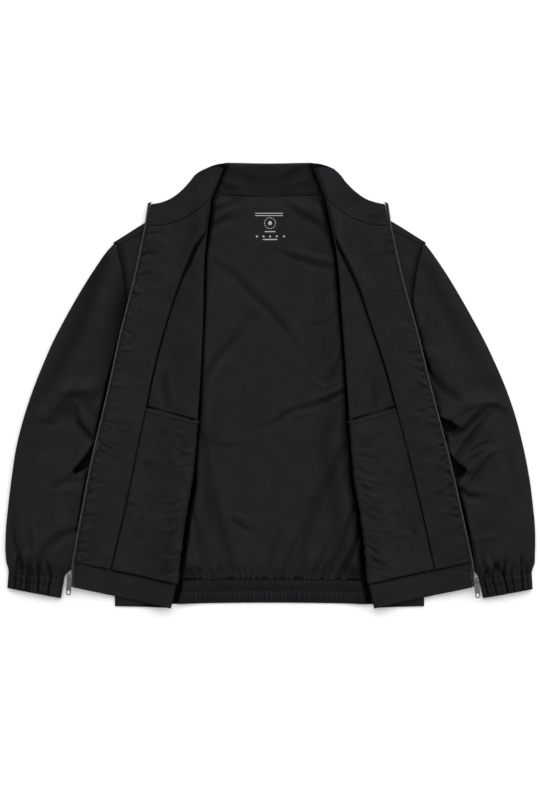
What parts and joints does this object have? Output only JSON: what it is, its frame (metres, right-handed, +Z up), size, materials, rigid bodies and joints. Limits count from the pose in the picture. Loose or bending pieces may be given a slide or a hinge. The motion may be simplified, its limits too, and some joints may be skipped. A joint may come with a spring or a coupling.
{
  "type": "track jacket",
  "caption": "Black woven track jacket lying flat, unzipped, both fronts folded open to show the facings, inner pockets, elastic hem and cuffs, stand collar and zip sliders.",
  "frame": {"origin": "on the ground under the middle of the jacket's box", "axes": "+X across the jacket from sleeve to sleeve, +Y from the hem to the collar, +Z up from the surface it lies on"},
  "size_m": [0.8782, 0.7377, 0.0218],
  "materials": {
    "shell_cloth": "matt black woven nylon with a faint sheen",
    "rib_cloth": "the same black woven cloth, gathered on elastic at the cuffs and the back hem",
    "zip_tape": "black woven zip tape",
    "zip_coil": "dark grey nylon coil",
    "zip_metal": "satin nickel-plated die-cast metal"
  },
  "bodies": {
    "jacket": {"back": "shell_cloth", "collar": "shell_cloth", "cuff_left": "rib_cloth", "cuff_right": "rib_cloth", "facing_left": "shell_cloth", "facing_right": "shell_cloth", "front_left": "shell_cloth", "front_right": "shell_cloth", "hem_back": "rib_cloth", "hem_front_left": "rib_cloth", "hem_front_right": "rib_cloth", "pocket_left": "shell_cloth", "pocket_right": "shell_cloth", "sleeve_left": "shell_cloth", "sleeve_right": "shell_cloth", "slider_left": "zip_metal", "slider_right": "zip_metal", "zip_coil_left": "zip_coil", "zip_coil_right": "zip_coil", "zip_tape_left": "zip_tape", "zip_tape_right": "zip_tape"},
    "pull_left": {"pull_left": "zip_metal"},
    "pull_right": {"pull_right": "zip_metal"}
  },
  "joints": [
    {"name": "pull_left_hinge", "type": "hinge", "parent": "jacket", "child": "pull_left", "pos_m": [-0.33047, -0.31792, 0.01715], "axis": [-0.9972, 0.0748, 0], "range_deg": [0, 165]},
    {"name": "pull_right_hinge", "type": "hinge", "parent": "jacket", "child": "pull_right", "pos_m": [0.3416, -0.32289, 0.01715], "axis": [-0.995, -0.0995, 0], "range_deg": [0, 165]}
  ]
}
